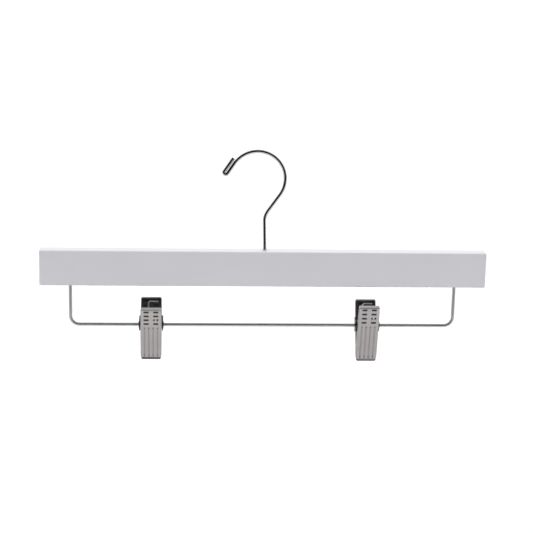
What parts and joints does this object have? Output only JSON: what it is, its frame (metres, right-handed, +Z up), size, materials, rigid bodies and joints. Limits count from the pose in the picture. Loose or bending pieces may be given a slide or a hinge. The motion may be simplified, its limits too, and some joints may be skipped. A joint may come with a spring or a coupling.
{
  "type": "skirt hanger",
  "caption": "Skirt hanger: flat white wooden bar under a swivelling chromed wire hook, with sprung metal clips that slide and swing on a U-shaped wire rod.",
  "frame": {"origin": "on the swivel axis, where it meets the inside of the hook: the point that rests on the rail", "axes": "+X along the bar to the right, -Y to the front, +Z up along the swivel axis"},
  "size_m": [0.3556, 0.0317, 0.1719],
  "materials": {
    "white_lacquered_wood": "satin lacquer",
    "chromed_wire": "polished",
    "satin_nickel": "satin nickel",
    "plated_steel": "zinc plated",
    "spring_wire": "drawn wire",
    "soft_vinyl": "milky matt"
  },
  "bodies": {
    "hook": {"swivel_hook": "chromed_wire"},
    "bar": {"wooden_bar": "white_lacquered_wood", "hook_washer": "plated_steel", "clip_rod": "chromed_wire"},
    "left_clip_slider": {"left_pivot_tube": "plated_steel"},
    "left_clip_back": {"left_back_jaw": "satin_nickel", "left_back_pad": "soft_vinyl", "left_jaw_spring": "spring_wire"},
    "left_clip_front": {"left_front_jaw": "satin_nickel", "left_front_pad": "soft_vinyl"},
    "right_clip_slider": {"right_pivot_tube": "plated_steel"},
    "right_clip_back": {"right_back_jaw": "satin_nickel", "right_back_pad": "soft_vinyl", "right_jaw_spring": "spring_wire"},
    "right_clip_front": {"right_front_jaw": "satin_nickel", "right_front_pad": "soft_vinyl"}
  },
  "joints": [
    {"name": "hook_swivel", "type": "hinge", "parent": "hook", "child": "bar", "pos_m": [0, 0, -0.09094], "axis": [0, 0, 1], "continuous": true},
    {"name": "left_clip_slide", "type": "slide", "parent": "bar", "child": "left_clip_slider", "axis": [1, 0, 0], "range_m": [-0.0462, 0.0783]},
    {"name": "left_clip_swing", "type": "hinge", "parent": "left_clip_slider", "child": "left_clip_back", "pos_m": [-0.0898, 0, -0.13834], "axis": [1, 0, 0], "continuous": true},
    {"name": "left_jaw_open", "type": "hinge", "parent": "left_clip_back", "child": "left_clip_front", "pos_m": [-0.0898, 0, -0.13834], "axis": [-1, 0, 0], "range_deg": [0, 40], "stiffness_Nm_per_rad": 0.03, "springref_deg": -45.84, "deforming": ["left_jaw_spring"]},
    {"name": "right_clip_slide", "type": "slide", "parent": "bar", "child": "right_clip_slider", "axis": [1, 0, 0], "range_m": [-0.0726, 0.0519]},
    {"name": "right_clip_swing", "type": "hinge", "parent": "right_clip_slider", "child": "right_clip_back", "pos_m": [0.0841, 0, -0.13834], "axis": [1, 0, 0], "continuous": true},
    {"name": "right_jaw_open", "type": "hinge", "parent": "right_clip_back", "child": "right_clip_front", "pos_m": [0.0841, 0, -0.13834], "axis": [-1, 0, 0], "range_deg": [0, 40], "stiffness_Nm_per_rad": 0.03, "springref_deg": -45.84, "deforming": ["right_jaw_spring"]}
  ]
}
